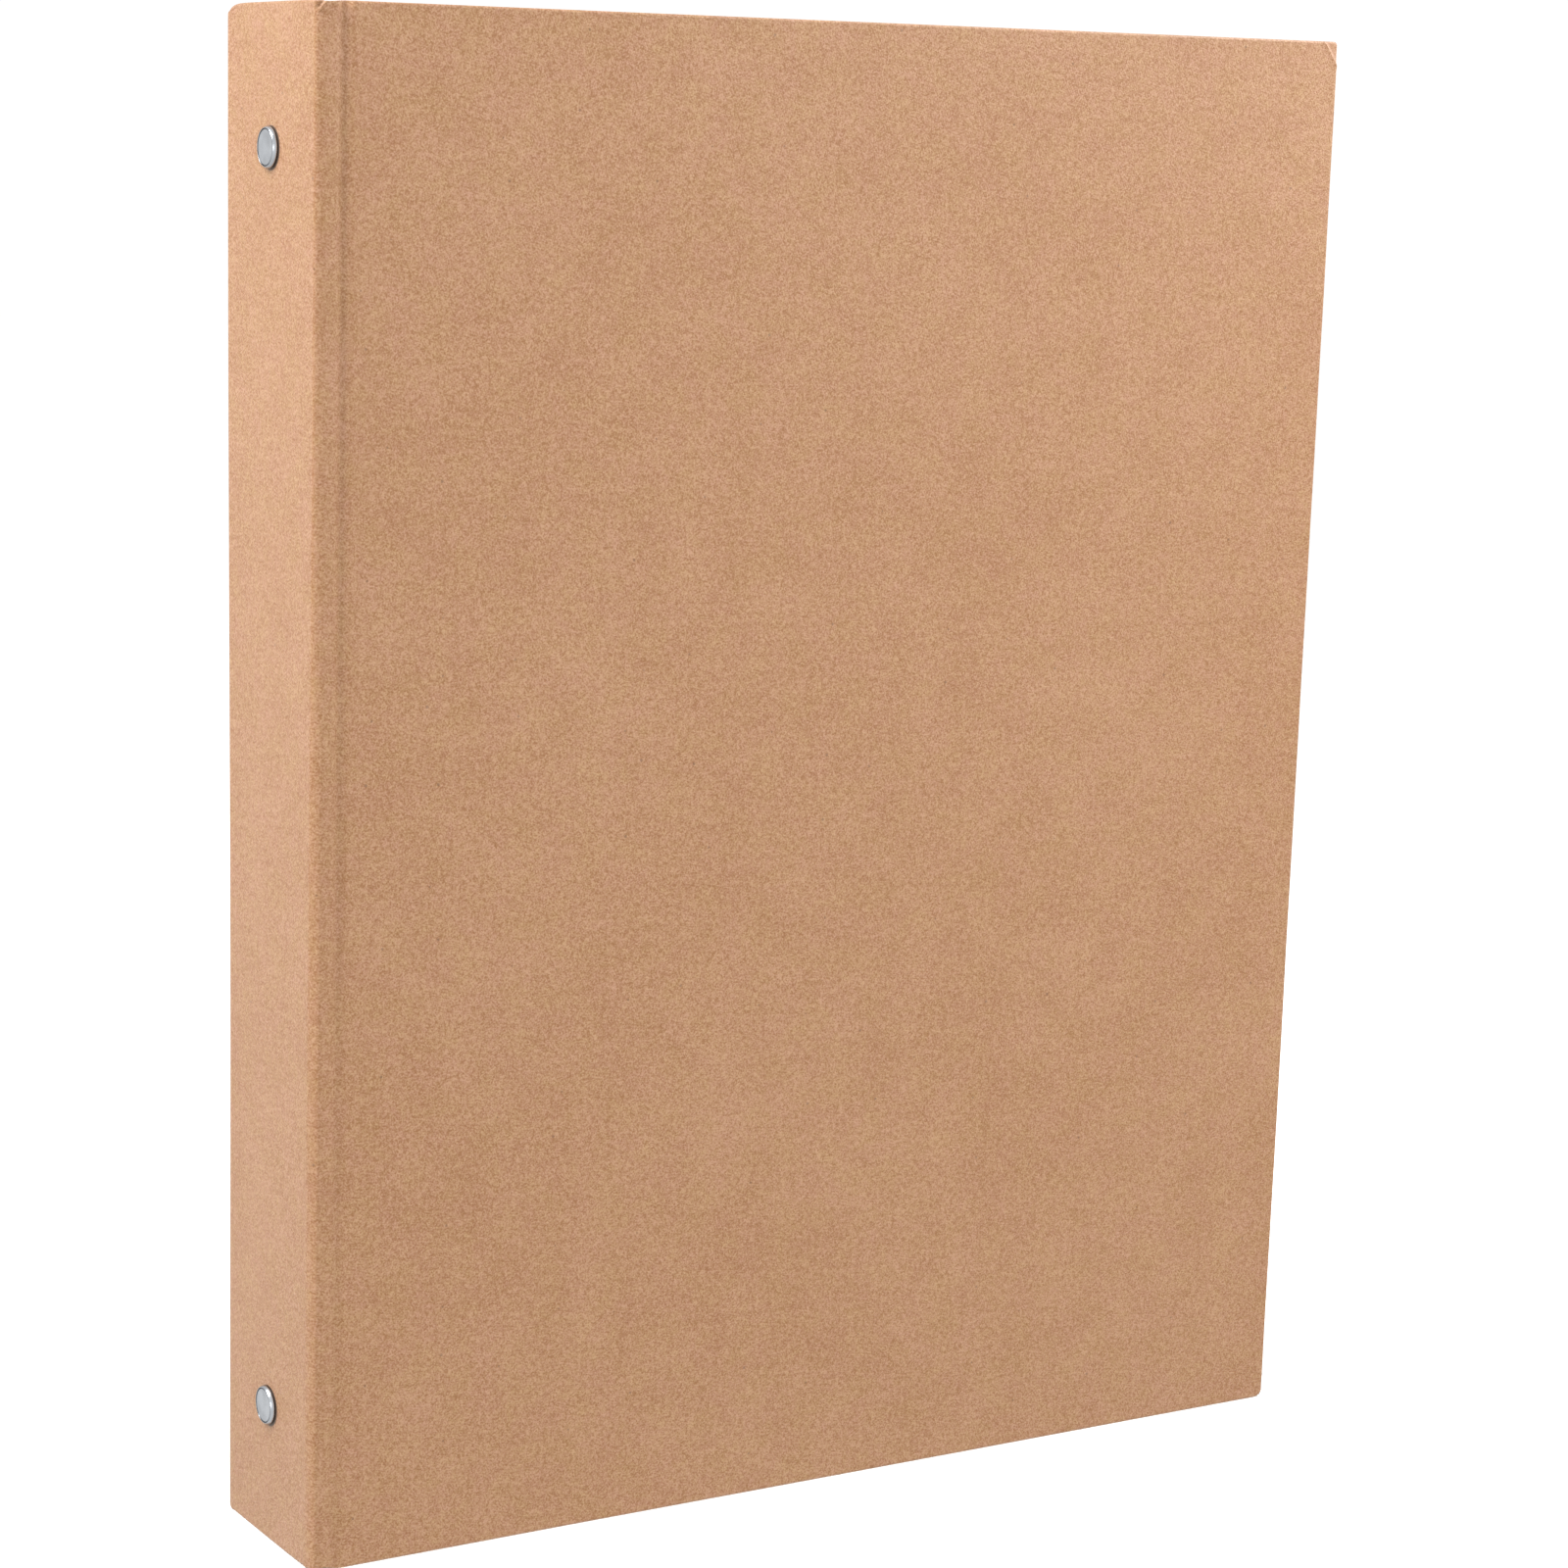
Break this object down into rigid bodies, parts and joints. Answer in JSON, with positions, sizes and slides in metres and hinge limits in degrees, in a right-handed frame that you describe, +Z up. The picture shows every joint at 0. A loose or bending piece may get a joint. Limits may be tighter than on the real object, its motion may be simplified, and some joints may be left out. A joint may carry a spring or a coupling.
{
  "type": "ring album",
  "caption": "Kraft-paper covered ring album with hinged board covers, a riveted ring mechanism inside the spine, and trigger levers.",
  "frame": {"origin": "middle of the album's box, on the surface that it stands on", "axes": "+Z up along the spine, +X from the spine to the fore edge, front cover faces -Y, back cover faces +Y"},
  "size_m": [0.2492, 0.044, 0.315],
  "materials": {
    "kraft_wrap": "matte mottled kraft paper",
    "lining_paper": "matte kraft paper",
    "greyboard": "raw grey board",
    "nickel_steel": "bright nickel plate"
  },
  "bodies": {
    "spine": {"spine_board": "greyboard", "spine_wrap": "kraft_wrap", "spine_liner": "lining_paper", "ring_housing": "nickel_steel", "upper_rivet": "nickel_steel", "lower_rivet": "nickel_steel", "upper_rivet_post": "nickel_steel", "lower_rivet_post": "nickel_steel", "upper_lever_pin": "nickel_steel", "lower_lever_pin": "nickel_steel"},
    "front_cover": {"front_board": "greyboard", "front_wrap": "kraft_wrap", "front_liner": "lining_paper"},
    "back_cover": {"back_board": "greyboard", "back_wrap": "kraft_wrap", "back_liner": "lining_paper"},
    "front_ring_set": {"front_blade": "nickel_steel", "front_ring_half_1": "nickel_steel", "front_ring_half_2": "nickel_steel", "front_ring_half_3": "nickel_steel", "front_ring_half_4": "nickel_steel"},
    "back_ring_set": {"back_blade": "nickel_steel", "back_ring_half_1": "nickel_steel", "back_ring_half_2": "nickel_steel", "back_ring_half_3": "nickel_steel", "back_ring_half_4": "nickel_steel"},
    "upper_lever": {"upper_lever": "nickel_steel"},
    "lower_lever": {"lower_lever": "nickel_steel"}
  },
  "joints": [
    {"name": "front_cover_hinge", "type": "hinge", "parent": "spine", "child": "front_cover", "pos_m": [-0.1226, -0.021, 0.1575], "axis": [0, 0, -1], "range_deg": [0, 175]},
    {"name": "back_cover_hinge", "type": "hinge", "parent": "spine", "child": "back_cover", "pos_m": [-0.1226, 0.021, 0.1575], "axis": [0, 0, 1], "range_deg": [0, 175]},
    {"name": "front_ring_pivot", "type": "hinge", "parent": "spine", "child": "front_ring_set", "pos_m": [-0.1179, -0.0112, 0.1584], "axis": [0, 0, -1], "range_deg": [0, 15]},
    {"name": "back_ring_pivot", "type": "hinge", "parent": "spine", "child": "back_ring_set", "pos_m": [-0.1179, 0.0112, 0.1584], "axis": [0, 0, 1], "range_deg": [0, 15]},
    {"name": "upper_lever_pivot", "type": "hinge", "parent": "spine", "child": "upper_lever", "pos_m": [-0.118, 0, 0.2964], "axis": [0, -1, 0], "range_deg": [0, 26.25]},
    {"name": "lower_lever_pivot", "type": "hinge", "parent": "spine", "child": "lower_lever", "pos_m": [-0.118, 0, 0.0204], "axis": [0, 1, 0], "range_deg": [0, 26.25]}
  ],
  "couplings": [
    {"joint": "back_ring_pivot", "follows": "front_ring_pivot", "ratio": 1},
    {"joint": "upper_lever_pivot", "follows": "front_ring_pivot", "ratio": 1.75},
    {"joint": "lower_lever_pivot", "follows": "front_ring_pivot", "ratio": 1.75}
  ]
}
